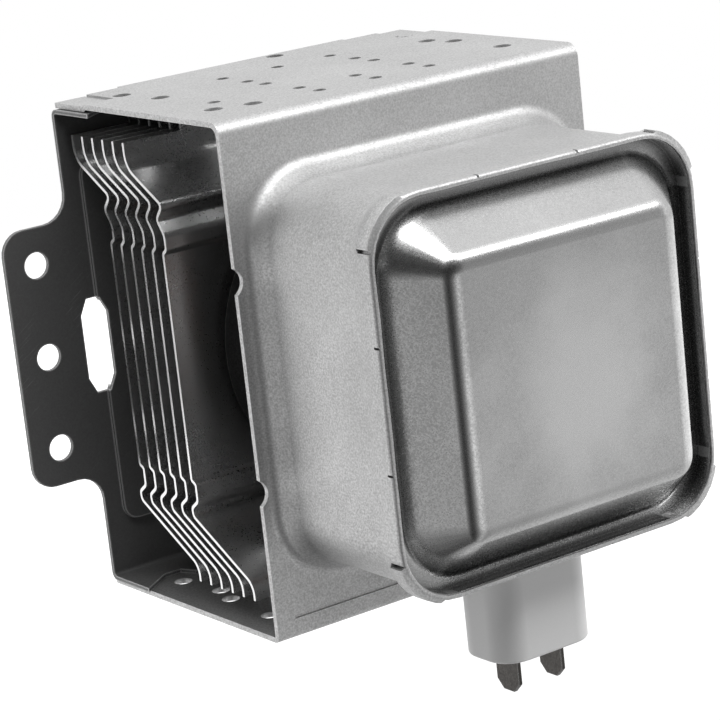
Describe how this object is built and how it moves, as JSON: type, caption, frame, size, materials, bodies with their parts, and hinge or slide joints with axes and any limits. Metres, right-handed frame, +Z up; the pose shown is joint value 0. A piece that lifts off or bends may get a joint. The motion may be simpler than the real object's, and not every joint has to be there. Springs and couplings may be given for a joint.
{
  "type": "magnetron",
  "caption": "Microwave-oven magnetron: folded steel yoke drawn out into a filter case, bent cooling fins, slotted mounting flange, antenna and power tabs.",
  "frame": {"origin": "on the tube's axis, in the rear face of the mounting plate, at the centre of its holes", "axes": "+Y along the tube's axis towards the antenna, +Z up (power tabs point down), +X to the right when the filter case is looked at"},
  "size_m": [0.1102, 0.117, 0.1086],
  "materials": {
    "case_steel": "satin",
    "flange_steel": "satin",
    "magnet_ferrite": "matte",
    "fin_aluminium": "satin",
    "tube_copper": "satin",
    "tube_iron": "satin",
    "alumina": "matte",
    "cap_steel": "bright",
    "gasket_wire": "satin",
    "refractory_metal": "satin",
    "choke_wire": "gloss",
    "choke_ferrite": "matte",
    "capacitor_resin": "matte",
    "terminal_metal": "satin"
  },
  "bodies": {
    "root": {"anode_cylinder": "tube_copper", "anode_vanes": "tube_copper", "antenna_cap": "cap_steel", "antenna_lead": "tube_copper", "capacitor_body": "capacitor_resin", "capacitor_plate": "case_steel", "capacitor_rivets": "case_steel", "cathode_filament": "refractory_metal", "centre_lead": "refractory_metal", "centre_terminal": "tube_iron", "choke_coil_left": "choke_wire", "choke_coil_right": "choke_wire", "choke_core_left": "choke_ferrite", "choke_core_right": "choke_ferrite", "cooling_fin_1": "fin_aluminium", "cooling_fin_2": "fin_aluminium", "cooling_fin_3": "fin_aluminium", "cooling_fin_4": "fin_aluminium", "cooling_fin_5": "fin_aluminium", "cooling_fin_6": "fin_aluminium", "exhaust_tube": "tube_copper", "filter_lid": "case_steel", "flux_plate": "case_steel", "gasket_ring": "tube_iron", "input_can": "tube_iron", "input_end_hat": "refractory_metal", "input_magnet": "magnet_ferrite", "input_pole_piece": "tube_iron", "mounting_plate": "flange_steel", "output_can": "tube_iron", "output_ceramic": "alumina", "output_end_hat": "refractory_metal", "output_magnet": "magnet_ferrite", "output_pole_piece": "tube_iron", "rf_gasket": "gasket_wire", "side_lead": "refractory_metal", "side_terminal": "tube_iron", "stem_ceramic": "alumina", "strap_rings": "tube_copper", "terminal_blade_left": "terminal_metal", "terminal_blade_right": "terminal_metal", "yoke_filter_case": "case_steel"}
  },
  "joints": []
}
